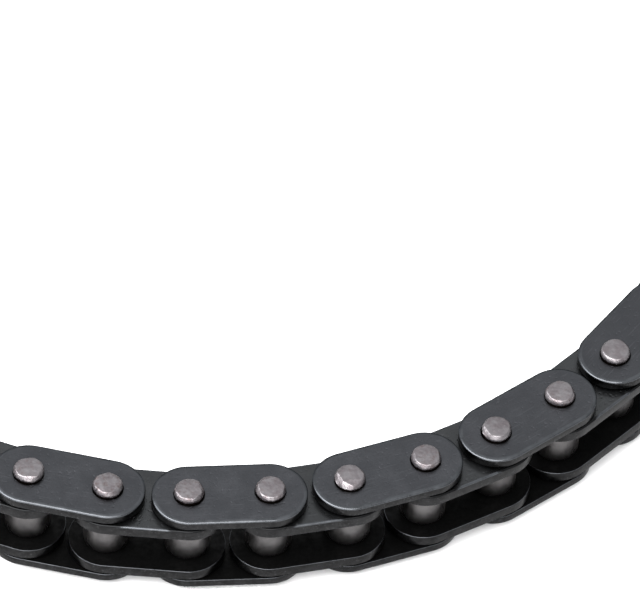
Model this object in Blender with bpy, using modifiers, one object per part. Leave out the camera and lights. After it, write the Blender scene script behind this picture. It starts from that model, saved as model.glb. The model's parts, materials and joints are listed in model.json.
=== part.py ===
"""Roller chain: a strand of eleven links, lying flat and bent to the curve of the wheel that it runs on.

Inner links alternate with outer links, and both ends are inner links.
An inner link is two plates pressed on two bushes, and a roller turns freely on each bush.
An outer link is two plates riveted on two pins, and each pin turns in a neighbour's bush.
Every pitch position where two links meet is therefore a hinge.

Metres, +Z up. The pins stand along Z and their lower ends lie at Z = 0.
The strand is mirror-symmetric about X = 0 and curves towards +Y.
"""

import math

import bmesh
import bpy

# Driving dimensions, in metres.
PITCH = 0.008
INNER_WIDTH = 0.0049  # clear width between the two inner plates, where the teeth run
INNER_PLATE_HEIGHT = 0.0076  # across the flat sides, and the diameter of the round ends
INNER_PLATE_THICKNESS = 0.0013
OUTER_PLATE_HEIGHT = 0.0074
OUTER_PLATE_THICKNESS = 0.00105
EDGE_CHAMFER = 0.0001  # the rolled-over rim of a stamped plate, on its outward face

PIN_RADIUS = 0.00145
HEAD_RADIUS = 0.001525  # riveting spreads the pin's ends a little
HEAD_RISE = 0.00095  # how far a riveted end stands above its plate
HEAD_CHAMFER = 0.0002
BUSH_RADIUS = 0.00185
BUSH_BORE_RADIUS = 0.0015
ROLLER_RADIUS = 0.0023
ROLLER_BORE_RADIUS = 0.0019

# Clearances, in metres.
SEAT_GAP = 0.00003  # between a pressed or riveted piece and its seat
PLATE_PLAY = 0.0002  # between an inner plate and the outer plate beside it
ROLLER_PLAY = 0.0001  # between a roller's end and the inner plate beside it

# The strand at rest.
LINK_COUNT = 11
WHEEL_TEETH = 44  # the strand is bent as it lies round a wheel with this many teeth

# Roundness.
ROUND_STEPS = 16
END_STEPS = 10
SMOOTH_ANGLE = math.radians(35)
WELD = 1e-7

# Worked out from the dimensions above.
BEND = 2 * math.pi / WHEEL_TEETH
MIDDLE_LINK = (LINK_COUNT + 1) // 2
INNER_PLATE_Z = (INNER_WIDTH + INNER_PLATE_THICKNESS) / 2
INNER_LINK_HALF = INNER_WIDTH / 2 + INNER_PLATE_THICKNESS
OUTER_PLATE_Z = INNER_LINK_HALF + PLATE_PLAY + OUTER_PLATE_THICKNESS / 2
OUTER_LINK_HALF = OUTER_PLATE_Z + OUTER_PLATE_THICKNESS / 2
PIN_HALF = OUTER_LINK_HALF + HEAD_RISE
ROLLER_HALF = INNER_WIDTH / 2 - ROLLER_PLAY
LINKS_PER_SIDE = LINK_COUNT - MIDDLE_LINK
CURVE_RISE = PITCH * sum(math.sin(step * BEND) for step in range(1, LINKS_PER_SIDE + 1))


def clear_scene():
    for old in list(bpy.data.objects):
        bpy.data.objects.remove(old, do_unlink=True)


def new_collection(name):
    collection = bpy.data.collections.new(name)
    bpy.context.scene.collection.children.link(collection)
    return collection


def steel(name, colour, roughness, metallic):
    material = bpy.data.materials.new(name)
    material.use_nodes = True
    shader = material.node_tree.nodes["Principled BSDF"]
    shader.inputs["Base Color"].default_value = (*colour, 1.0)
    shader.inputs["Roughness"].default_value = roughness
    shader.inputs["Metallic"].default_value = metallic
    material.diffuse_color = (*colour, 1.0)
    return material


def arc_points(centre_x, radius, start, sweep, steps):
    """Points along an arc about (centre_x, 0), with both of its ends."""
    angles = [start + sweep * step / steps for step in range(steps + 1)]
    return [(centre_x + radius * math.cos(a), radius * math.sin(a)) for a in angles]


def circle_points(centre_x, radius):
    return arc_points(centre_x, radius, 0, 2 * math.pi, ROUND_STEPS)[:-1]


def evaluated_mesh(thing, name):
    """The mesh that an object evaluates to, welded shut. The object is removed."""
    thing_in_view = thing.evaluated_get(bpy.context.evaluated_depsgraph_get())
    mesh = bpy.data.meshes.new_from_object(thing_in_view)
    mesh.name = name
    bpy.data.objects.remove(thing, do_unlink=True)
    solid = bmesh.new()
    solid.from_mesh(mesh)
    bmesh.ops.remove_doubles(solid, verts=solid.verts, dist=WELD)
    solid.to_mesh(mesh)
    solid.free()
    return mesh


def chamfer_rim(mesh, top_z):
    """Chamfer the outline's edge on the plate's upper face, and leave the bores' edges sharp."""
    solid = bmesh.new()
    solid.from_mesh(mesh)
    bore_zone = (BUSH_RADIUS + OUTER_PLATE_HEIGHT / 2) / 2

    def on_rim(vertex):
        x, y, z = vertex.co
        from_bores = min(math.hypot(x, y), math.hypot(x - PITCH, y))
        return z > top_z - WELD and from_bores > bore_zone

    rim = [
        edge
        for edge in solid.edges
        if all(on_rim(vertex) for vertex in edge.verts)
        and edge.calc_face_angle() > SMOOTH_ANGLE
    ]
    bmesh.ops.bevel(
        solid,
        geom=rim,
        offset=EDGE_CHAMFER,
        segments=1,
        profile=0.5,
        affect="EDGES",
    )
    solid.to_mesh(mesh)
    solid.free()


def plate_mesh(name, height, thickness, bore_radius, material):
    """A link plate with its first bore at the origin and its second one pitch along +X."""
    end_radius = height / 2
    outline = arc_points(PITCH, end_radius, -math.pi / 2, math.pi, END_STEPS)
    outline += arc_points(0, end_radius, math.pi / 2, math.pi, END_STEPS)
    curve = bpy.data.curves.new(name, "CURVE")
    curve.dimensions = "2D"
    curve.fill_mode = "BOTH"
    curve.extrude = thickness / 2
    for points in (outline, circle_points(0, bore_radius), circle_points(PITCH, bore_radius)):
        spline = curve.splines.new("POLY")
        spline.points.add(len(points) - 1)
        for point, (x, y) in zip(spline.points, points):
            point.co = (x, y, 0, 1)
        spline.use_cyclic_u = True
    flat = bpy.data.objects.new(name, curve)
    bpy.context.scene.collection.objects.link(flat)
    mesh = evaluated_mesh(flat, name)
    chamfer_rim(mesh, thickness / 2)
    return finished(mesh, material)


def turned_mesh(name, profile, closed, material):
    """A profile of (radius, z) points turned about Z. Its outer side runs from top to bottom."""
    edges = [(i, i + 1) for i in range(len(profile) - 1)]
    if closed:
        edges.append((len(profile) - 1, 0))
    outline = bpy.data.meshes.new(name)
    outline.from_pydata([(radius, 0, z) for radius, z in profile], edges, [])
    turned = bpy.data.objects.new(name, outline)
    bpy.context.scene.collection.objects.link(turned)
    screw = turned.modifiers.new("Screw", "SCREW")
    screw.axis = "Z"
    screw.angle = 2 * math.pi
    screw.steps = ROUND_STEPS
    screw.render_steps = ROUND_STEPS
    screw.use_merge_vertices = True
    screw.merge_threshold = WELD
    return finished(evaluated_mesh(turned, name), material)


def finished(mesh, material):
    mesh.shade_smooth()
    mesh.set_sharp_from_angle(angle=SMOOTH_ANGLE)
    mesh.materials.clear()
    mesh.materials.append(material)
    return mesh


def pin_mesh(material):
    """A pin with both ends riveted over the outer plates."""
    plate_face = OUTER_LINK_HALF + SEAT_GAP
    upper = [
        (0, PIN_HALF),
        (HEAD_RADIUS - HEAD_CHAMFER, PIN_HALF),
        (HEAD_RADIUS, PIN_HALF - HEAD_CHAMFER),
        (HEAD_RADIUS, plate_face),
        (PIN_RADIUS, plate_face),
    ]
    lower = [(radius, -z) for radius, z in reversed(upper)]
    return turned_mesh("pin", upper + lower, False, material)


def tube_mesh(name, radius, bore_radius, half_length, material):
    profile = [
        (radius, half_length),
        (radius, -half_length),
        (bore_radius, -half_length),
        (bore_radius, half_length),
    ]
    return turned_mesh(name, profile, True, material)


def place(collection, parent, name, mesh, x=0.0, z=0.0, flipped=False):
    """One piece of a link. A flipped piece is turned over, so its upper face looks down."""
    piece = bpy.data.objects.new(name, mesh)
    collection.objects.link(piece)
    piece.parent = parent
    piece.location = (x, 0, z)
    piece.rotation_euler = (math.pi if flipped else 0, 0, 0)
    return piece


def link_frame(collection, number, parent, location, turn):
    """An empty on the hinge axis about which the link moves, with +X along the link."""
    frame = bpy.data.objects.new(f"link_{number:02d}_hinge_axis", None)
    frame.empty_display_size = PITCH / 4
    collection.objects.link(frame)
    frame.parent = parent
    frame.location = location
    frame.rotation_euler = (0, 0, turn)
    return frame


def link_frames(collection):
    """One frame for each link. The middle link carries its neighbours, and they carry theirs."""
    middle_place = (-PITCH / 2, -CURVE_RISE / 2, PIN_HALF)
    frames = {MIDDLE_LINK: link_frame(collection, MIDDLE_LINK, None, middle_place, 0)}
    for number in range(MIDDLE_LINK + 1, LINK_COUNT + 1):
        frames[number] = link_frame(collection, number, frames[number - 1], (PITCH, 0, 0), BEND)
    for number in range(MIDDLE_LINK - 1, 0, -1):
        beside_middle = number == MIDDLE_LINK - 1
        location = (0, 0, 0) if beside_middle else (PITCH, 0, 0)
        turn = math.pi - BEND if beside_middle else -BEND
        frames[number] = link_frame(collection, number, frames[number + 1], location, turn)
    return frames


def end_positions(number):
    """The pitch positions at a link's own X = 0 and X = PITCH. Link n joins positions n and n + 1."""
    return (number, number + 1) if number >= MIDDLE_LINK else (number + 1, number)


def is_inner(number):
    return number % 2 == 1


def build_inner_link(collection, frame, number, meshes):
    for side, z in (("top", INNER_PLATE_Z), ("bottom", -INNER_PLATE_Z)):
        name = f"inner_plate_{number:02d}_{side}"
        place(collection, frame, name, meshes["inner_plate"], z=z, flipped=z < 0)
    for x, position in zip((0, PITCH), end_positions(number)):
        place(collection, frame, f"bush_{position:02d}", meshes["bush"], x=x)
        place(collection, frame, f"roller_{position:02d}", meshes["roller"], x=x)


def build_outer_link(collection, frame, number, meshes):
    for side, z in (("top", OUTER_PLATE_Z), ("bottom", -OUTER_PLATE_Z)):
        name = f"outer_plate_{number:02d}_{side}"
        place(collection, frame, name, meshes["outer_plate"], z=z, flipped=z < 0)
    for x, position in zip((0, PITCH), end_positions(number)):
        place(collection, frame, f"pin_{position:02d}", meshes["pin"], x=x)


def main():
    clear_scene()
    collection = new_collection("roller_chain")
    outer_steel = steel("outer_plate_steel", (0.075, 0.078, 0.085), 0.42, 0.8)
    inner_steel = steel("inner_plate_steel", (0.065, 0.067, 0.073), 0.48, 0.8)
    pin_steel = steel("pin_steel", (0.42, 0.37, 0.38), 0.38, 1.0)
    bush_steel = steel("bush_steel", (0.12, 0.12, 0.12), 0.4, 0.9)
    roller_steel = steel("roller_steel", (0.06, 0.056, 0.055), 0.35, 0.9)

    inner_bore = BUSH_RADIUS + SEAT_GAP
    outer_bore = PIN_RADIUS + SEAT_GAP
    meshes = {
        "inner_plate": plate_mesh(
            "inner_plate", INNER_PLATE_HEIGHT, INNER_PLATE_THICKNESS, inner_bore, inner_steel
        ),
        "outer_plate": plate_mesh(
            "outer_plate", OUTER_PLATE_HEIGHT, OUTER_PLATE_THICKNESS, outer_bore, outer_steel
        ),
        "pin": pin_mesh(pin_steel),
        "bush": tube_mesh("bush", BUSH_RADIUS, BUSH_BORE_RADIUS, INNER_LINK_HALF, bush_steel),
        "roller": tube_mesh(
            "roller", ROLLER_RADIUS, ROLLER_BORE_RADIUS, ROLLER_HALF, roller_steel
        ),
    }
    for number, frame in link_frames(collection).items():
        build = build_inner_link if is_inner(number) else build_outer_link
        build(collection, frame, number, meshes)


main()
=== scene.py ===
"""The looks of the roller chain strand: fine plates, peened pins, bushes and rollers on the CAD frame.

Every piece replaces the CAD node of the same kind, in the same place, and rides on that node's body.
Metres, +Z up, pins along Z, the floor at Z = 0.
"""

import json
import math
import random

import bmesh
import bpy
from mathutils import Matrix, Vector, noise


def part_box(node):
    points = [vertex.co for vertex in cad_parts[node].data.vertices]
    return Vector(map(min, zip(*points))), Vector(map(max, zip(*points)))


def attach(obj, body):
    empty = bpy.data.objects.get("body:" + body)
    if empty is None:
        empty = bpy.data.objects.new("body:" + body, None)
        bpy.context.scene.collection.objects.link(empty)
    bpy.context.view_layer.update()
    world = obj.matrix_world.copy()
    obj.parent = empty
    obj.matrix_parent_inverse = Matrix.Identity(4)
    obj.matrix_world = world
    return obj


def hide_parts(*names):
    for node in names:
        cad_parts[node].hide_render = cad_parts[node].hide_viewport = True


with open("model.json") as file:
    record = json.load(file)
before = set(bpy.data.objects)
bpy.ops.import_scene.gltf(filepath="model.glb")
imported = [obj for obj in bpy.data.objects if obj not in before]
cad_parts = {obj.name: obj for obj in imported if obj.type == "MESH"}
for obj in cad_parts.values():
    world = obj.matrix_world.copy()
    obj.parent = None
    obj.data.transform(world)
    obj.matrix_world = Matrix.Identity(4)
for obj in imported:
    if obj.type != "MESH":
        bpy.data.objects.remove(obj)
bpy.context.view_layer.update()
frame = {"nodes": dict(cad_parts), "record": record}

MM = 0.001

# The photograph's view, from far off with a long lens. The lens and the sensor are in millimetres.
VIEW_ELEVATION = math.radians(49.0)
VIEW_TURN = math.radians(-23.2)  # the camera stands left of the strand's middle and looks to the right
VIEW_ROLL = math.radians(3.4)
VIEW_DISTANCE_PITCHES = 105.4
VIEW_AIM_PITCHES = (0.19, 2.885)  # from the middle of the middle link, along X and Y
VIEW_AIM_DEPTH = 0.35 * MM  # under the tops of the pins
LENS = 473.8
SENSOR = 36.0
NEAREST_SEEN = 0.01
FARTHEST_SEEN = 20

# A pale tent all round, darker towards the horizon.
HORIZON_LIGHT = 0.4
ZENITH_LIGHT = 1.5
TENT_COLOUR = (0.98, 0.99, 1.0)

# A broad softbox above the camera's left shoulder, a weaker one at the left and a low one in front.
# Each has its place, its size, its power and its colour. All three face the strand.
SOFTBOXES = {
    "key_softbox": ((-0.364, -0.3055, 0.705), (1.0, 0.45), 13.5, (1, 0.99, 0.98)),
    "left_softbox": ((-0.629, 0.1685, 0.546), (0.7, 0.5), 6.5, (0.97, 0.985, 1)),
    "front_softbox": ((-0.501, -0.715, 0.218), (0.7, 0.3), 3.2, (1, 1, 1)),
}

FLOOR_SIZE = 4.0
FLOOR_SQUARES = 8

# Colours, most of them as a pair: the darker patches and the lighter ones.
OUTER_PLATE_COLOURS = ((0.060, 0.062, 0.068), (0.074, 0.076, 0.083))
INNER_PLATE_COLOURS = ((0.052, 0.054, 0.056), (0.066, 0.068, 0.071))
RIM_COLOURS = ((0.057, 0.060, 0.065), (0.077, 0.081, 0.088))
SIDE_COLOURS = ((0.0100, 0.0100, 0.0102), (0.0183, 0.0183, 0.0188))
# The next two are near black: grease, and painted shade on the plates' inward faces and on the pins'
# walls under their ends' edges.
GREASY_SHADED_PLATE_COLOURS = ((0.009, 0.009, 0.009), (0.018, 0.018, 0.018))
GREASY_SHADED_PIN_COLOURS = ((0.014, 0.010, 0.009), (0.045, 0.032, 0.03))
PIN_COLOURS = ((0.168, 0.151, 0.159), (0.218, 0.206, 0.214))
ROLLER_COLOURS = ((0.085, 0.0815, 0.082), (0.115, 0.1105, 0.111))
BUSH_COLOURS = ((0.10, 0.097, 0.097), (0.17, 0.165, 0.165))
FLOOR_COLOURS = ((0.86, 0.86, 0.865), (0.88, 0.88, 0.885))
# The next two colours are near black: grease, and painted shade, round the joints and at the rollers'
# ends.
JOINT_GREASE_AND_SHADE = (0.008, 0.008, 0.008)
ROLLER_GREASE_AND_SHADE = (0.01, 0.01, 0.01)
TORN_STEEL = (0.05, 0.05, 0.052)
BROWN_STAIN = (0.10, 0.066, 0.06)
BRIGHT_SCUFF = (0.30, 0.285, 0.285)

# The middle part of a noise texture's range, over which one colour gives way to the other.
PATCHES = (0.35, 0.65)

# The smoothest and the roughest patches.
OUTER_PLATE_POLISH = (0.32, 0.42)
INNER_PLATE_POLISH = (0.24, 0.32)

# Where grease and painted shade start to thin and where they end, away from a joint's axis: the outer
# plates' is counted from the bore's edge, round the pin ends' foot, and the inner plates' from the edge
# of the outer plates' round ends, where those ends overhang them. On a roller it is where grease and
# painted shade start and where they are thickest, from its middle towards its ends.
OUTER_GREASE_AND_SHADE = (-0.1 * MM, -0.02 * MM)
INNER_GREASE_AND_SHADE = (-1.8 * MM, -0.1 * MM)
# The inner plates' rims are painted dark round and just beyond the outer plates' round ends: painted
# shade where those ends overhang them.
INNER_RIM_SHADE = (0.15 * MM, 0.35 * MM)
ROLLER_GREASE_AND_SHADE_REACH = (1.4 * MM, 2.6 * MM)

# The share of a colour that its thickest grease and painted shade hide.
PLATE_GREASE_AND_SHADE_MOST = 0.75
RIM_SHADE_MOST = 0.92
ROLLER_GREASE_AND_SHADE_MOST = 0.85

# Roundness of the fine pieces.
END_STEPS = 40
ROUND_STEPS = 72
EDGE_STEPS = 4
SMOOTH_ANGLE = math.radians(32)

# How much of a steel's shine is left where it is seen at a shallow angle.
DULL_GRAZING = 0.25
HALF_GRAZING = 0.6
CLEAR_GRAZING = 0.75

# The name of the mesh attribute that keeps each plate's coordinates as drawn, before it is turned.
DRAWN_PLACE = "drawn_place"

# A plate's materials, in the order of its mesh's slots. The first one, 0, is its outward face.
RIM = 1
SIDE = 2
INWARD = 3
BURR = 4

# A pin's materials, likewise.
PEENED = 0
SHANK = 1

# Edges and small features, which the CAD leaves plain. A rollover is a rim's width and its depth.
OUTER_ROLLOVER = (0.38 * MM, 0.21 * MM)
INNER_ROLLOVER = (0.22 * MM, 0.16 * MM)
ROLLOVER_STEPS = 10
BURR_EDGE = 0.045 * MM
BORE_EDGE = 0.06 * MM
BORE_MOUTH = 0.08 * MM
ROLLER_EDGE = 0.18 * MM
BUSH_EDGE = 0.08 * MM
BUSH_SEAM = math.radians(1.4)

# A peened pin end's mesh: rings from the crown to the edge, closer together towards the edge.
HEAD_RINGS = 32
HEAD_RING_CROWDING = 1.35
HEAD_STEPS = 96

# The wall under a pin end's edge, as (share of the edge's height, share of its reach) going down.
HEAD_WALL = ((0.75, 0.985), (0.4, 0.965), (0.12, 0.955))

# A peened pin end's own sizes. HEAD_FOOT is the range of heights at which its rounded edge stops.
HEAD_SEAT = 0.03 * MM  # over the plate's face
HEAD_DOME = 0.09 * MM
HEAD_BLEND = 0.008 * MM
HEAD_DENT = 0.014 * MM
HEAD_DENT_SIZE = 0.32 * MM
HEAD_LIP = 0.016 * MM
HEAD_LIP_REACH = 0.018 * MM
HEAD_EDGE = 0.28 * MM
HEAD_EDGE_NICK = 0.14 * MM
HEAD_FOOT = (0.20 * MM, 0.50 * MM)
HEAD_FOOT_LOWEST = 0.06 * MM
BEVEL_DENT = 0.014 * MM
BEVEL_ROUGH_DEPTH = 0.04 * MM

# What is drawn at random for each pin end, as ranges. Slopes are in degrees from the plate's face, and
# starts and shifts are shares of the end's radius. A blow is a slanting hammer mark on the flat.
HEAD_SEED = 44
HEAD_LEAN = (0, 3)
CONE_START = 0.9
CONE_SLOPE = (33, 39)
CONE_SHIFT = (0.03, 0.10)
BEVEL_COUNT = (4, 6)
BEVEL_SLOPE = (26, 42)
BEVEL_START = (0.66, 0.86)
BEVEL_UNEVENNESS = 0.4  # of the turn from one bevel to the next
BLOW_COUNT = (1, 2)
BLOW_SLOPE = (7, 13)
BLOW_START = (0.4, 0.7)

# A pin end's outline reaches OUTLINE_REACH of the radius, less its wobbles: a broad one and small
# nicks, each as (depth, size), with the depth a share of the radius. Sizes are those of ragged().
OUTLINE_REACH = 1.07
OUTLINE_WOBBLES = ((0.12, 0.8), (0.04, 6.0))
OUTLINE_WEAR_SIZE = 3.0

# A vertex of a round CAD node that lies nearer to the axis than this is the middle of a flat face.
ON_AXIS = 0.1 * MM


# ---------------------------------------------------------------------------
# What the frame says
# ---------------------------------------------------------------------------


def axis_of(node):
    """The point in the middle of a node's box, which is on the axis of a round piece."""
    low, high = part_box(node)
    return (low + high) / 2


def radii_of(node):
    """The distances of a round node's vertices from its own vertical axis, smallest first."""
    centre = axis_of(node)
    vertices = frame["nodes"][node].data.vertices
    return sorted({round((v.co - centre).xy.length, 7) for v in vertices})


BODY_OF = {
    node: body
    for body, nodes in frame["record"]["behaviour"]["bodies"].items()
    for node in nodes
}
POSITIONS = sorted(int(node[-2:]) for node in BODY_OF if node.startswith("bush_"))
AXES = {position: axis_of(f"bush_{position:02d}") for position in POSITIONS}
MIDDLE = POSITIONS[len(POSITIONS) // 2 - 1]
PITCH = (AXES[MIDDLE + 1] - AXES[MIDDLE]).xy.length

# The CAD nodes that all others of their kind are drawn after. The middle link is an outer one.
OUTER_PATTERN = f"outer_plate_{MIDDLE:02d}_top"
INNER_PATTERN = f"inner_plate_{MIDDLE - 1:02d}_top"
BUSH_PATTERN = f"bush_{MIDDLE:02d}"
ROLLER_PATTERN = f"roller_{MIDDLE:02d}"
PIN_PATTERN = f"pin_{MIDDLE:02d}"


def link_turn(number):
    """The direction of link n, from pitch position n to n + 1, as a turn about Z."""
    along = AXES[number + 1] - AXES[number]
    return math.atan2(along.y, along.x)


def plate_sizes(node):
    """(thickness, end radius, bore radius) of a plate, read from its CAD solid."""
    low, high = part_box(node)
    centre = (low + high) / 2
    number = int(node.split("_")[2])
    bore_axis = AXES[number]
    vertices = frame["nodes"][node].data.vertices
    end_radius = max((v.co - centre).xy.length for v in vertices) - PITCH / 2
    bore_radius = min((v.co - bore_axis).xy.length for v in vertices)
    return high.z - low.z, end_radius, bore_radius


# ---------------------------------------------------------------------------
# Materials
# ---------------------------------------------------------------------------


class Nodes:
    """A short way to write a material's node tree."""

    def __init__(self, name):
        self.material = bpy.data.materials.new(name)
        self.material.use_nodes = True
        self.tree = self.material.node_tree
        self.shader = self.tree.nodes["Principled BSDF"]

    def add(self, kind, **settings):
        node = self.tree.nodes.new(kind)
        for key, value in settings.items():
            setattr(node, key, value)
        return node

    def join(self, output, target):
        self.tree.links.new(output, target)

    def own_place(self):
        """The piece's own coordinates, shifted by its own random number, so no two pieces match."""
        coordinates = self.add("ShaderNodeTexCoord")
        info = self.add("ShaderNodeObjectInfo")
        shift = self.add("ShaderNodeVectorMath", operation="ADD")
        self.join(coordinates.outputs["Object"], shift.inputs[0])
        self.join(info.outputs["Random"], shift.inputs[1])
        return shift.outputs[0]

    def drawn_place(self):
        """A plate's coordinates as drawn: from its first bore's axis, along the plate and across it."""
        return self.add("ShaderNodeAttribute", attribute_name=DRAWN_PLACE).outputs["Vector"]

    def distance(self, place, point):
        """The distance from a point, across the plate, whatever the height."""
        level = self.add("ShaderNodeVectorMath", operation="MULTIPLY")
        level.inputs[1].default_value = (1, 1, 0)
        self.join(place, level.inputs[0])
        gap = self.add("ShaderNodeVectorMath", operation="DISTANCE")
        gap.inputs[1].default_value = point
        self.join(level.outputs[0], gap.inputs[0])
        return gap.outputs["Value"]

    def math(self, operation, first, second):
        """A sum, product or the like of two values. Each is a number or another node's output."""
        node = self.add("ShaderNodeMath", operation=operation)
        for socket, value in zip(node.inputs, (first, second)):
            if isinstance(value, (int, float)):
                socket.default_value = value
            else:
                self.join(value, socket)
        return node.outputs[0]

    def joint_grease_and_shade(self, colour, place, reach, most):
        """The colour under grease and painted shade that thin out between two distances from the nearer
        bore's axis.
        """
        drawn = self.drawn_place()
        nearest = self.math(
            "MINIMUM", self.distance(drawn, (0, 0, 0)), self.distance(drawn, (PITCH, 0, 0))
        )
        uneven = self.math("MULTIPLY", self.noise(place, 0.6 * MM, detail=2), 0.3 * MM)
        nearest = self.math("SUBTRACT", nearest, uneven)
        return self.blend(self.remap(nearest, *reach, most, 0), colour, JOINT_GREASE_AND_SHADE)

    def own_number(self):
        """The piece's own random number, from 0 to 1."""
        return self.add("ShaderNodeObjectInfo").outputs["Random"]

    def noise(self, place, size, detail=4.0, roughness=0.55, stretch=(1, 1, 1)):
        """Noise whose features are about size metres across."""
        scale = self.add("ShaderNodeMapping")
        scale.inputs["Scale"].default_value = [side / size for side in stretch]
        self.join(place, scale.inputs["Vector"])
        texture = self.add("ShaderNodeTexNoise")
        texture.inputs["Scale"].default_value = 1.0
        texture.inputs["Detail"].default_value = detail
        texture.inputs["Roughness"].default_value = roughness
        self.join(scale.outputs[0], texture.inputs["Vector"])
        return texture.outputs["Fac"]

    def remap(self, value, low, high, to_low, to_high):
        """The value that goes from to_low to to_high while the given one goes from low to high."""
        node = self.add("ShaderNodeMapRange")
        node.inputs["From Min"].default_value = low
        node.inputs["From Max"].default_value = high
        node.inputs["To Min"].default_value = to_low
        node.inputs["To Max"].default_value = to_high
        self.join(value, node.inputs["Value"])
        return node.outputs["Result"]

    def blend(self, factor, first, second):
        """A colour between two colours. Each is an (r, g, b) or another node's output."""
        mix = self.add("ShaderNodeMix", data_type="RGBA")
        self.join(factor, mix.inputs[0])
        for socket, colour in ((mix.inputs[6], first), (mix.inputs[7], second)):
            if isinstance(colour, tuple):
                socket.default_value = (*colour, 1.0)
            else:
                self.join(colour, socket)
        return mix.outputs[2]

    def patches(self, fleck, dark, light):
        """Dark and light patches where a noise texture is low and high."""
        return self.blend(self.remap(fleck, *PATCHES, 0, 1), dark, light)

    def bump(self, height, distance, strength=1.0, under=None):
        """A normal that follows a height, on top of the normal of a bump under it."""
        node = self.add("ShaderNodeBump")
        node.inputs["Distance"].default_value = distance
        node.inputs["Strength"].default_value = strength
        self.join(height, node.inputs["Height"])
        if under is not None:
            self.join(under, node.inputs["Normal"])
        return node.outputs["Normal"]

    def finish(self, colour, roughness, metallic, normal, grazing=DULL_GRAZING):
        """The finished material, with all that makes up its surface."""
        self.join(colour, self.shader.inputs["Base Color"])
        self.join(roughness, self.shader.inputs["Roughness"])
        self.shader.inputs["Metallic"].default_value = metallic
        self.shader.inputs["Specular Tint"].default_value = (grazing, grazing, grazing, 1.0)
        self.join(normal, self.shader.inputs["Normal"])
        return self.material


def plate_steel(name, colours, grease_and_shade_reach, polish):
    """Blued steel, tumbled: soft mottling, a fine matt grain, shallow dents, and grease with painted
    shade round its joints.

    The reach is the pair of distances from a bore's axis where the grease and painted shade start to
    thin and end.
    polish is the pair of its smoothest and its roughest patches.
    """
    dark, light = colours
    nodes = Nodes(name)
    place = nodes.own_place()
    mottle = nodes.noise(place, 2.6 * MM, detail=3)
    grain = nodes.noise(place, 0.14 * MM, detail=2, roughness=0.7)
    dents = nodes.noise(place, 0.36 * MM, detail=1.5, roughness=0.5)
    scratches = nodes.noise(nodes.drawn_place(), 0.16 * MM, detail=2, stretch=(0.07, 1, 1))
    colour = nodes.patches(mottle, dark, light)
    deeper = tuple(0.8 * part for part in dark)
    colour = nodes.blend(nodes.remap(nodes.own_number(), 0, 1, 0, 0.6), colour, deeper)
    colour = nodes.blend(nodes.remap(grain, 0.45, 0.75, 0, 0.7), colour, deeper)
    lighter = tuple(1.35 * part for part in light)
    colour = nodes.blend(nodes.remap(scratches, 0.6, 0.76, 0, 0.5), colour, lighter)
    colour = nodes.blend(nodes.remap(dents, 0.66, 0.78, 0, 0.45), colour, lighter)
    # Round the joints: grease, and painted shade round the pin ends' foot and under the outer plates'
    # round ends.
    colour = nodes.joint_grease_and_shade(colour, place, grease_and_shade_reach, PLATE_GREASE_AND_SHADE_MOST)
    roughness = nodes.remap(mottle, *PATCHES, *polish)
    normal = nodes.bump(grain, 0.006 * MM, 0.7)
    normal = nodes.bump(nodes.remap(dents, 0.6, 0.74, 1, 0), 0.03 * MM, 0.7, under=normal)
    return nodes.finish(colour, roughness, 1.0, normal, HALF_GRAZING)


def greasy_shaded_steel(name, colours):
    """Steel painted near black where the chain's own parts rub and hide each other: a film of grease,
    and painted shade.
    """
    nodes = Nodes(name)
    place = nodes.own_place()
    film = nodes.noise(place, 0.8 * MM, detail=3, roughness=0.6)
    grit = nodes.noise(place, 0.12 * MM, detail=1)
    colour = nodes.blend(nodes.remap(film, 0.35, 0.68, 0, 1), *colours)
    roughness = nodes.remap(film, 0.3, 0.7, 0.55, 0.4)
    return nodes.finish(colour, roughness, 1.0, nodes.bump(grit, 0.008 * MM, 0.5))


def rim_steel(name, grease_and_shade_reach=None):
    """The rolled-over rim of a plate, which tumbling has rubbed smoother and lighter, with painted
    shade near a joint if given a reach.
    """
    nodes = Nodes(name)
    place = nodes.own_place()
    rub = nodes.noise(place, 1.1 * MM, detail=3)
    grain = nodes.noise(place, 0.07 * MM, detail=1)
    colour = nodes.patches(rub, *RIM_COLOURS)
    if grease_and_shade_reach is not None:
        colour = nodes.joint_grease_and_shade(colour, place, grease_and_shade_reach, RIM_SHADE_MOST)
    roughness = nodes.remap(rub, 0.3, 0.7, 0.25, 0.34)
    return nodes.finish(colour, roughness, 1.0, nodes.bump(grain, 0.003 * MM, 0.4))


def sheared_steel():
    """A plate's punched side: fine upright drag lines and small torn, lighter spots."""
    dark, light = SIDE_COLOURS
    nodes = Nodes("punched_side_steel")
    place = nodes.own_place()
    lines = nodes.noise(place, 0.09 * MM, detail=1, stretch=(1, 1, 0.06))
    film = nodes.noise(place, 0.8 * MM, detail=2)
    torn = nodes.noise(place, 0.2 * MM, detail=2, roughness=0.65)
    colour = nodes.patches(film, dark, light)
    colour = nodes.blend(nodes.remap(lines, 0.55, 0.75, 0, 0.6), colour, dark)
    colour = nodes.blend(nodes.remap(torn, 0.6, 0.7, 0, 0.7), colour, TORN_STEEL)
    roughness = nodes.remap(film, 0.3, 0.7, 0.28, 0.38)
    normal = nodes.bump(lines, 0.012 * MM, 0.7)
    normal = nodes.bump(torn, 0.012 * MM, 0.6, under=normal)
    return nodes.finish(colour, roughness, 1.0, normal, CLEAR_GRAZING)


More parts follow.
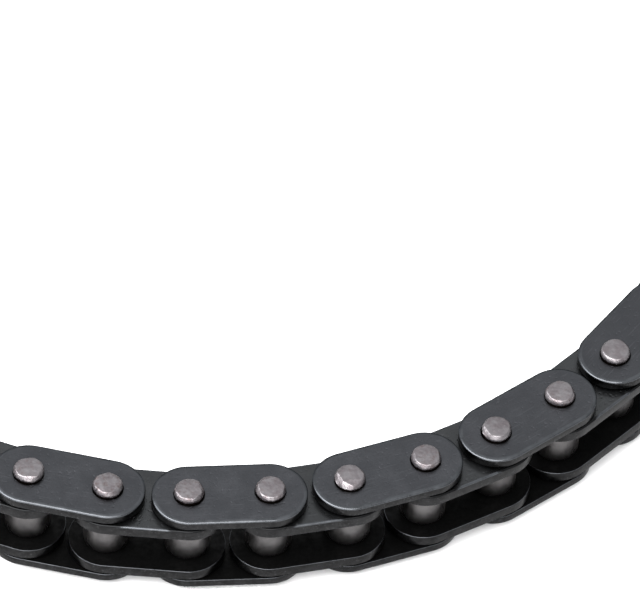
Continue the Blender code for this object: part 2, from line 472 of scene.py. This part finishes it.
def pin_steel():
    """Bare peened steel: bright, mottled grey and mauve, hammered and scuffed, with brown stains."""
    nodes = Nodes("pin_steel")
    place = nodes.own_place()
    tint = nodes.noise(place, 0.9 * MM, detail=2)
    stain = nodes.noise(place, 0.5 * MM, detail=4, roughness=0.7)
    scuff = nodes.noise(place, 0.17 * MM, detail=2, roughness=0.65)
    hammer = nodes.noise(place, 0.45 * MM, detail=1, roughness=0.4)
    colour = nodes.patches(tint, *PIN_COLOURS)
    stained = nodes.math(
        "MULTIPLY",
        nodes.remap(stain, 0.5, 0.68, 0, 1),
        nodes.remap(nodes.own_number(), 0.4, 0.9, 0.15, 0.8),
    )
    colour = nodes.blend(stained, colour, BROWN_STAIN)
    colour = nodes.blend(nodes.remap(scuff, 0.6, 0.75, 0, 0.5), colour, BRIGHT_SCUFF)
    roughness = nodes.remap(stain, 0.3, 0.7, 0.34, 0.5)
    normal = nodes.bump(hammer, 0.05 * MM, 0.6)
    normal = nodes.bump(scuff, 0.016 * MM, 0.7, under=normal)
    return nodes.finish(colour, roughness, 1.0, normal, HALF_GRAZING)


def roller_steel():
    """Oiled steel: faint turning lines, near black towards both ends: grease, and painted shade between
    the plates.
    """
    nodes = Nodes("roller_steel")
    place = nodes.own_place()
    turning = nodes.noise(place, 0.07 * MM, detail=1, stretch=(0.05, 0.05, 1))
    oil = nodes.noise(place, 1.2 * MM, detail=3)
    colour = nodes.patches(oil, *ROLLER_COLOURS)
    parts = nodes.add("ShaderNodeSeparateXYZ")
    nodes.join(nodes.add("ShaderNodeTexCoord").outputs["Object"], parts.inputs[0])
    from_middle = nodes.math("ABSOLUTE", parts.outputs["Z"], 0)
    from_middle = nodes.math("ADD", from_middle, nodes.math("MULTIPLY", oil, 0.4 * MM))
    # Towards both ends the roller is painted near black: grease, and painted shade where its ends sit
    # between the plates.
    grease_and_shade = nodes.remap(from_middle, *ROLLER_GREASE_AND_SHADE_REACH, 0, ROLLER_GREASE_AND_SHADE_MOST)
    colour = nodes.blend(grease_and_shade, colour, ROLLER_GREASE_AND_SHADE)
    roughness = nodes.remap(oil, 0.3, 0.7, 0.33, 0.42)
    return nodes.finish(colour, roughness, 1.0, nodes.bump(turning, 0.002 * MM, 0.4))


def bush_steel():
    """Curled strip steel, oiled, with faint lines round it."""
    nodes = Nodes("bush_steel")
    place = nodes.own_place()
    turning = nodes.noise(place, 0.06 * MM, detail=2, stretch=(0.08, 0.08, 1))
    oil = nodes.noise(place, 0.7 * MM, detail=4)
    colour = nodes.patches(oil, *BUSH_COLOURS)
    roughness = nodes.remap(oil, 0.3, 0.7, 0.3, 0.42)
    return nodes.finish(colour, roughness, 1.0, nodes.bump(turning, 0.003 * MM, 0.5))


def floor_paint():
    """A plain, pale, matt surface with a very faint tooth."""
    nodes = Nodes("pale_floor")
    place = nodes.add("ShaderNodeTexCoord").outputs["Object"]
    tone = nodes.noise(place, 60 * MM, detail=3)
    tooth = nodes.noise(place, 0.8 * MM, detail=3)
    colour = nodes.blend(tone, *FLOOR_COLOURS)
    roughness = nodes.remap(tone, 0, 1, 0.75, 0.85)
    return nodes.finish(colour, roughness, 0.0, nodes.bump(tooth, 0.01 * MM, 0.2))


# ---------------------------------------------------------------------------
# Shapes
# ---------------------------------------------------------------------------


def obround(inset, end_radius):
    """The plate's outline, moved inwards by inset. The bores are at the origin and at (PITCH, 0)."""
    radius = end_radius - inset
    points = []
    for centre_x, start in ((PITCH, -math.pi / 2), (0, math.pi / 2)):
        for step in range(END_STEPS + 1):
            angle = start + math.pi * step / END_STEPS
            points.append((centre_x + radius * math.cos(angle), radius * math.sin(angle)))
    return points


def circle(centre_x, radius, steps=ROUND_STEPS):
    """Points round a circle, anticlockwise."""
    angles = [2 * math.pi * step / steps for step in range(steps)]
    return [(centre_x + radius * math.cos(a), radius * math.sin(a)) for a in angles]


def ring(mesh, points, z):
    """A closed ring of vertices at one height."""
    return [mesh.verts.new((x, y, z)) for x, y in points]


def bridge(mesh, upper, lower, material_index=0):
    """Quads between two rings of equal length. They face outwards when the rings run anticlockwise."""
    count = len(upper)
    for i in range(count):
        j = (i + 1) % count
        face = mesh.faces.new((upper[i], lower[i], lower[j], upper[j]))
        face.material_index = material_index
        face.smooth = True


def cap(mesh, rings, facing):
    """A flat face filled inside the first ring and outside the others. facing is +1 up or -1 down."""
    edges = []
    for points in rings:
        for i, vertex in enumerate(points):
            beside = points[(i + 1) % len(points)]
            edges.append(mesh.edges.get((vertex, beside)) or mesh.edges.new((vertex, beside)))
    made = bmesh.ops.triangle_fill(mesh, use_beauty=True, edges=edges)["geom"]
    faces = [item for item in made if isinstance(item, bmesh.types.BMFace)]
    for face in faces:
        face.normal_update()
        if face.normal.z * facing < 0:
            face.normal_flip()
        face.smooth = False
    for edge in edges:
        edge.smooth = False
    return faces


def quarter_round(width, depth, steps):
    """(inset, drop) pairs of an elliptical quarter round, from the flat face to the side."""
    angles = [math.pi / 2 * step / steps for step in range(steps + 1)]
    return [(width * (1 - math.sin(a)), depth * (1 - math.cos(a))) for a in angles]


def mesh_from(solid, name, materials):
    """The finished mesh of a solid that was drawn with bmesh."""
    mesh = bpy.data.meshes.new(name)
    solid.normal_update()
    solid.to_mesh(mesh)
    solid.free()
    for material in materials:
        mesh.materials.append(material)
    return mesh


def plate_outline(thickness, rollover):
    """(inset, z, material) down a plate's edge. The material is that of the strip below the step."""
    half = thickness / 2
    rim = quarter_round(*rollover, ROLLOVER_STEPS)
    burr = list(reversed(quarter_round(BURR_EDGE, BURR_EDGE, EDGE_STEPS)))
    steps = [(inset, half - drop, RIM) for inset, drop in rim[:-1]]
    steps += [(inset, half - drop, SIDE) for inset, drop in rim[-1:]]
    steps += [(inset, -half + drop, BURR) for inset, drop in burr]
    return steps


def plate_mesh(name, node, rollover, materials):
    """A stamped plate: rolled-over rim on its outward face, small burr edge on the other, two bores.

    rollover is the rim's width and depth. The materials are those of the outward face, the rim, the
    side, the inward face and the burr edge.
    """
    thickness, end_radius, bore_radius = plate_sizes(node)
    half = thickness / 2
    solid = bmesh.new()
    outline = plate_outline(thickness, rollover)
    rings = [ring(solid, obround(inset, end_radius), z) for inset, z, _ in outline]
    for i in range(len(rings) - 1):
        bridge(solid, rings[i], rings[i + 1], material_index=outline[i][2])
    bore_rings = []
    mouth = quarter_round(BORE_MOUTH, BORE_MOUTH, EDGE_STEPS)
    steps = [(bore_radius + inset, half - drop) for inset, drop in mouth]
    steps += [(bore_radius, -half + BORE_EDGE), (bore_radius + BORE_EDGE, -half)]
    for centre_x in (0, PITCH):
        hole = [ring(solid, circle(centre_x, radius), z) for radius, z in steps]
        for i in range(len(hole) - 1):
            bridge(solid, hole[i + 1], hole[i], material_index=INWARD)
        bore_rings.append(hole)
    cap(solid, [rings[0]] + [hole[0] for hole in bore_rings], 1)
    for face in cap(solid, [rings[-1]] + [hole[-1] for hole in bore_rings], -1):
        face.material_index = INWARD
    mesh = mesh_from(solid, name, materials)
    drawn = mesh.attributes.new(DRAWN_PLACE, "FLOAT_VECTOR", "POINT")
    for vertex in mesh.vertices:
        drawn.data[vertex.index].vector = vertex.co
    return mesh


def lathe(solid, profile, seam):
    """A closed (radius, z) profile turned about Z. Where there is a seam, it is an open slit."""
    start = seam / 2
    sweep = 2 * math.pi - seam
    full = seam == 0
    columns = ROUND_STEPS if full else ROUND_STEPS + 1
    made = []
    for column in range(columns):
        angle = start + sweep * column / ROUND_STEPS
        made.append(
            [solid.verts.new((r * math.cos(angle), r * math.sin(angle), z)) for r, z in profile]
        )
    spans = columns if full else columns - 1
    for column in range(spans):
        here, there = made[column], made[(column + 1) % columns]
        for i in range(len(profile)):
            j = (i + 1) % len(profile)
            solid.faces.new((here[i], here[j], there[j], there[i])).smooth = True
    if not full:
        solid.faces.new(made[0])
        solid.faces.new(list(reversed(made[-1])))


def tube_outline(radius, bore_radius, half, edge):
    """The (radius, z) outline of a tube with rounded outer edges and small bore chamfers."""
    corners = quarter_round(edge, edge, EDGE_STEPS)
    outline = [(radius - inset, half - drop) for inset, drop in corners]
    outline += [(radius - inset, -half + drop) for inset, drop in reversed(corners)]
    outline += [(bore_radius + BORE_EDGE, -half), (bore_radius, -half + BORE_EDGE)]
    outline += [(bore_radius, half - BORE_EDGE), (bore_radius + BORE_EDGE, half)]
    return outline


def tube_mesh(name, node, edge, material, seam=0):
    """A bush or a roller about its own centre. seam is the angle of the slit along a curled bush."""
    low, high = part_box(node)
    radii = radii_of(node)
    solid = bmesh.new()
    lathe(solid, tube_outline(radii[-1], radii[0], (high.z - low.z) / 2, edge), seam)
    mesh = mesh_from(solid, name, (material,))
    mesh.set_sharp_from_angle(angle=SMOOTH_ANGLE)
    return mesh


def soft_lowest(heights, blend):
    """The lowest of several heights, rounded off where two of them meet."""
    total = sum(math.exp(-(height - min(heights)) / blend) for height in heights)
    return min(heights) - blend * math.log(total)


HEAD_ANGLES = [2 * math.pi * column / HEAD_STEPS for column in range(HEAD_STEPS)]


def drawn_turn(numbers):
    """Any direction, drawn at random."""
    return numbers.uniform(0, 2 * math.pi)


def drawn_slope(numbers, degrees):
    """A slope, as height over length, drawn from a range of angles."""
    return math.tan(math.radians(numbers.uniform(*degrees)))


class PeenedEnd:
    """The top of one riveted pin end: an off-centre hammered flat, uneven bevels and a ragged edge.

    Its surface is the lowest of a slightly domed flat, a cone round the flat and the planes of the
    bevels. A plane is (its direction, its slope, the share of the radius at which it starts).
    """

    def __init__(self, numbers, radius, rise):
        self.radius = radius
        self.rise = rise
        self.place = Vector([numbers.uniform(-50, 50) for _ in range(3)])
        self.lean = (drawn_turn(numbers), drawn_slope(numbers, HEAD_LEAN))
        away, shift = drawn_turn(numbers), numbers.uniform(*CONE_SHIFT)
        self.cone = (drawn_slope(numbers, CONE_SLOPE), away, shift)
        count = numbers.randint(*BEVEL_COUNT)
        self.bevels = []
        for i in range(count):
            turn = 2 * math.pi * (i + numbers.uniform(-BEVEL_UNEVENNESS, BEVEL_UNEVENNESS)) / count
            slope = drawn_slope(numbers, BEVEL_SLOPE)
            start = numbers.uniform(*BEVEL_START) + shift * math.cos(turn - away)
            self.bevels.append((turn, slope, start))
        for _ in range(numbers.randint(*BLOW_COUNT)):
            slope = drawn_slope(numbers, BLOW_SLOPE)
            self.bevels.append((drawn_turn(numbers), slope, numbers.uniform(*BLOW_START)))
        self.reaches = []
        self.wear = []
        for angle in HEAD_ANGLES:
            wobble = sum(depth * self.ragged(angle, size) for depth, size in OUTLINE_WOBBLES)
            self.reaches.append(radius * (OUTLINE_REACH - wobble))
            self.wear.append(self.ragged(angle, OUTLINE_WEAR_SIZE))

    def ragged(self, angle, size):
        """Noise round the edge, from 0 to 1, with about size features in a quarter turn."""
        spot = Vector((math.cos(angle), math.sin(angle), 0)) * size
        return 0.5 + 0.5 * noise.noise(self.place + spot)

    def worn_edge(self, height, over, wear, spot):
        """The height where the edge rounds down to its foot. over is the share of the way down."""
        lowest, highest = HEAD_FOOT
        foot = lowest + (highest - lowest) * wear
        height -= (height - foot) * (1 - math.sqrt(max(0.0, 1 - over**2)))
        return height - HEAD_EDGE_NICK * over * abs(noise.noise(1.7 * spot))

    def height(self, column, share):
        """How far the surface stands above the seat, at a share of the way out to the edge."""
        angle, wear = HEAD_ANGLES[column], self.wear[column]
        reach = self.reaches[column] * share
        x, y = reach * math.cos(angle), reach * math.sin(angle)
        spot = self.place + Vector((x, y, 0)) / HEAD_DENT_SIZE
        top = -HEAD_DOME * (reach / self.radius) ** 2
        top += self.lean[1] * (reach * math.cos(angle - self.lean[0]) - self.radius)
        slope, away, shift = self.cone
        start = CONE_START + shift * math.cos(angle - away)
        cuts = [-slope * (reach - start * self.radius) - HEAD_DOME * start**2]
        for turn, slope, start in self.bevels:
            along = x * math.cos(turn) + y * math.sin(turn)
            cuts.append(-slope * (along - start * self.radius) - HEAD_DOME * start**2)
        cut_depth = top - min(cuts)
        height = self.rise - HEAD_LIP - HEAD_DENT + soft_lowest([top] + cuts, HEAD_BLEND)
        lip = HEAD_LIP * wear * math.exp(-((cut_depth / HEAD_LIP_REACH) ** 2))
        height += lip + HEAD_DENT * noise.noise(spot)
        rough = min(1.0, max(0.0, cut_depth / BEVEL_ROUGH_DEPTH))
        height -= rough * BEVEL_DENT * (0.5 + noise.noise(2.0 * spot))
        edge = 1 - HEAD_EDGE / self.radius
        if share > edge:
            height = self.worn_edge(height, (share - edge) / (1 - edge), wear, spot)
        return max(height, HEAD_FOOT_LOWEST)


def head_rings(end, base_z, sign):
    """Rings of points over one end, from the crown's middle out to the edge and down to the plate."""
    steps = range(1, HEAD_RINGS + 1)
    shares = [1 - (1 - step / HEAD_RINGS) ** HEAD_RING_CROWDING for step in steps]
    levels = [(share, 1.0, share) for share in shares]
    levels += [(1.0, depth, spread) for depth, spread in HEAD_WALL]
    rings = []
    for share, depth, spread in levels:
        points = []
        for column, angle in enumerate(HEAD_ANGLES):
            reach = end.reaches[column] * spread
            z = base_z + sign * end.height(column, share) * depth
            points.append((reach * math.cos(angle), reach * math.sin(angle), z))
        rings.append(points)
    return rings


def pin_mesh(name, node, plate_face_z, materials, numbers):
    """One pin, about its own centre: both ends peened, each in its own way.

    The materials are those of the two hammered ends and of the shank, which is greasy and also painted
    near black as shade on the walls under the ends' edges.
    """
    low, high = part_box(node)
    half = (high.z - low.z) / 2
    radii = [radius for radius in radii_of(node) if radius > ON_AXIS]
    shank, head = radii[0], radii[-1]
    seat = plate_face_z + HEAD_SEAT
    solid = bmesh.new()
    columns = []
    for sign in (1, -1):
        end = PeenedEnd(numbers, head, half - seat)
        crown = solid.verts.new((0, 0, sign * (seat + end.height(0, 0))))
        rings = [[solid.verts.new(p) for p in points] for points in head_rings(end, sign * seat, sign)]
        rings.append(ring(solid, circle(0, shank, HEAD_STEPS), sign * seat))
        columns.append((crown, rings))
    for sign, (crown, rings) in zip((1, -1), columns):
        first = rings[0]
        for i in range(HEAD_STEPS):
            j = (i + 1) % HEAD_STEPS
            corner = (crown, first[i], first[j]) if sign > 0 else (crown, first[j], first[i])
            solid.faces.new(corner).smooth = True
        for i in range(len(rings) - 1):
            upper, lower = (rings[i], rings[i + 1]) if sign > 0 else (rings[i + 1], rings[i])
            # The wall below its first wall ring takes the shank's near-black material: grease, and
            # painted shade under the end's edge.
            bridge(solid, upper, lower, material_index=PEENED if i < HEAD_RINGS else SHANK)
    bridge(solid, columns[0][1][-1], columns[1][1][-1], material_index=SHANK)
    mesh = mesh_from(solid, name, materials)
    mesh.set_sharp_from_angle(angle=SMOOTH_ANGLE)
    return mesh


# ---------------------------------------------------------------------------
# Pieces on the frame
# ---------------------------------------------------------------------------


def put(node, mesh, place, turn=0.0, flipped=False):
    """A fine piece in the place of its CAD node. Its turn is in its mesh, so its box fits it."""
    over = Matrix.Rotation(math.pi, 4, "X") if flipped else Matrix.Identity(4)
    own_mesh = mesh.copy()
    own_mesh.transform(Matrix.Rotation(turn, 4, "Z") @ over)
    piece = bpy.data.objects.new("fine_" + node, own_mesh)
    bpy.context.scene.collection.objects.link(piece)
    piece.location = place
    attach(piece, BODY_OF[node])
    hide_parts(node)


def add_plates(kind, mesh):
    """All the inner or all the outer plates. The lower ones are turned over, rims outward."""
    for node in sorted(node for node in BODY_OF if node.startswith(kind + "_plate_")):
        number = int(node.split("_")[2])
        start = AXES[number]
        place = Vector((start.x, start.y, axis_of(node).z))
        flipped = node.endswith("_bottom")
        put(node, mesh, place, link_turn(number), flipped)


def add_round_pieces(kind, mesh_for):
    """Bushes, rollers or pins. Each is turned to an angle of its own about its axis."""
    numbers = random.Random(kind)
    for node in sorted(node for node in BODY_OF if node.startswith(kind + "_")):
        turn = numbers.uniform(0, 2 * math.pi)
        put(node, mesh_for(node), axis_of(node), turn)


def reach_beyond(radius, reach):
    """A pair of distances from a bore's axis, from a pair counted outwards from a radius."""
    return tuple(radius + distance for distance in reach)


def add_all_plates():
    """All link plates. The inner ones' grease and painted shade reach as far as the outer ones' round
    ends rub.
    """
    _, end_radius, bore_radius = plate_sizes(OUTER_PATTERN)
    outer_surface = plate_steel(
        "outer_plate_steel",
        OUTER_PLATE_COLOURS,
        reach_beyond(bore_radius, OUTER_GREASE_AND_SHADE),
        OUTER_PLATE_POLISH,
    )
    inner_surface = plate_steel(
        "inner_plate_steel",
        INNER_PLATE_COLOURS,
        reach_beyond(end_radius, INNER_GREASE_AND_SHADE),
        INNER_PLATE_POLISH,
    )
    rim = rim_steel("rubbed_rim_steel")
    # The inner rims are painted dark just beyond the outer plates' round ends, a painted shade where
    # those ends overhang them.
    inner_rim = rim_steel("inner_rim_steel", reach_beyond(end_radius, INNER_RIM_SHADE))
    side = sheared_steel()
    # The plates' inward faces are painted near black: grease, and painted shade between the plates.
    inward = greasy_shaded_steel("greasy_shaded_plate_steel", GREASY_SHADED_PLATE_COLOURS)
    outer_materials = (outer_surface, rim, side, inward, rim)
    inner_materials = (inner_surface, inner_rim, side, inward, rim)
    add_plates("outer", plate_mesh("outer_plate", OUTER_PATTERN, OUTER_ROLLOVER, outer_materials))
    add_plates("inner", plate_mesh("inner_plate", INNER_PATTERN, INNER_ROLLOVER, inner_materials))


def add_bushes_and_rollers():
    """All bushes share one mesh, and so do all rollers."""
    bush = tube_mesh("bush", BUSH_PATTERN, BUSH_EDGE, bush_steel(), seam=BUSH_SEAM)
    roller = tube_mesh("roller", ROLLER_PATTERN, ROLLER_EDGE, roller_steel())
    add_round_pieces("bush", lambda node: bush)
    add_round_pieces("roller", lambda node: roller)


def add_pins():
    """Each pin has a mesh of its own, because no two ends are peened alike."""
    # The shank's material is near black: grease, and painted shade under the pin ends' edges.
    materials = (pin_steel(), greasy_shaded_steel("greasy_shaded_pin_steel", GREASY_SHADED_PIN_COLOURS))
    peening = random.Random(HEAD_SEED)
    face_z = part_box(OUTER_PATTERN)[1].z - AXES[MIDDLE].z
    add_round_pieces(
        "pin", lambda node: pin_mesh("fine_" + node, node, face_z, materials, peening)
    )


# ---------------------------------------------------------------------------
# Stage, light and camera
# ---------------------------------------------------------------------------


def add_floor():
    """A plain, wide, pale floor under the strand."""
    bpy.ops.mesh.primitive_grid_add(
        x_subdivisions=FLOOR_SQUARES, y_subdivisions=FLOOR_SQUARES, size=FLOOR_SIZE
    )
    floor = bpy.context.object
    floor.name = "floor"
    floor.data.materials.append(floor_paint())


def add_softbox(name, place, size, power, colour):
    """An oblong area light that faces the strand."""
    light = bpy.data.lights.new(name, "AREA")
    light.shape = "RECTANGLE"
    light.size, light.size_y = size
    light.energy = power
    light.color = colour
    box = bpy.data.objects.new(name, light)
    bpy.context.scene.collection.objects.link(box)
    box.location = place
    box.rotation_euler = (-Vector(place)).to_track_quat("-Z", "Y").to_euler()


def add_tent():
    """The world: brighter overhead than at the horizon."""
    world = bpy.data.worlds.new("studio")
    world.use_nodes = True
    tree = world.node_tree
    background = tree.nodes["Background"]
    background.inputs["Color"].default_value = (*TENT_COLOUR, 1.0)
    direction = tree.nodes.new("ShaderNodeTexCoord")
    parts = tree.nodes.new("ShaderNodeSeparateXYZ")
    brightness = tree.nodes.new("ShaderNodeMapRange")
    brightness.inputs["From Min"].default_value = 0.0
    brightness.inputs["From Max"].default_value = 1.0
    brightness.inputs["To Min"].default_value = HORIZON_LIGHT
    brightness.inputs["To Max"].default_value = ZENITH_LIGHT
    tree.links.new(direction.outputs["Generated"], parts.inputs[0])
    tree.links.new(parts.outputs["Z"], brightness.inputs["Value"])
    tree.links.new(brightness.outputs["Result"], background.inputs["Strength"])
    bpy.context.scene.world = world


def add_light():
    """The tent and the softboxes, with a view transform that keeps the pale floor pale."""
    bpy.context.scene.view_settings.view_transform = "Standard"
    add_tent()
    for name, (place, size, power, colour) in SOFTBOXES.items():
        add_softbox(name, place, size, power, colour)


def add_camera():
    """The photograph's view."""
    middle = (AXES[MIDDLE] + AXES[MIDDLE + 1]) / 2
    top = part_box(PIN_PATTERN)[1].z
    aim = Vector((middle.x, middle.y, top - VIEW_AIM_DEPTH))
    aim.x += VIEW_AIM_PITCHES[0] * PITCH
    aim.y += VIEW_AIM_PITCHES[1] * PITCH
    turn = Matrix.Rotation(VIEW_TURN, 3, "Z")
    forward = turn @ Vector((0, math.cos(VIEW_ELEVATION), -math.sin(VIEW_ELEVATION)))
    level = turn @ Vector((1, 0, 0))
    upward = level.cross(forward)
    right = math.cos(VIEW_ROLL) * level + math.sin(VIEW_ROLL) * upward
    above = right.cross(forward)
    camera = bpy.data.cameras.new("camera")
    camera.lens = LENS
    camera.sensor_width = SENSOR
    camera.clip_start = NEAREST_SEEN
    camera.clip_end = FARTHEST_SEEN
    holder = bpy.data.objects.new("camera", camera)
    bpy.context.scene.collection.objects.link(holder)
    pose = Matrix((right, above, -forward)).transposed().to_4x4()
    pose.translation = aim - forward * VIEW_DISTANCE_PITCHES * PITCH
    holder.matrix_world = pose
    bpy.context.scene.camera = holder


add_all_plates()
add_bushes_and_rollers()
add_pins()
add_floor()
add_light()
add_camera()
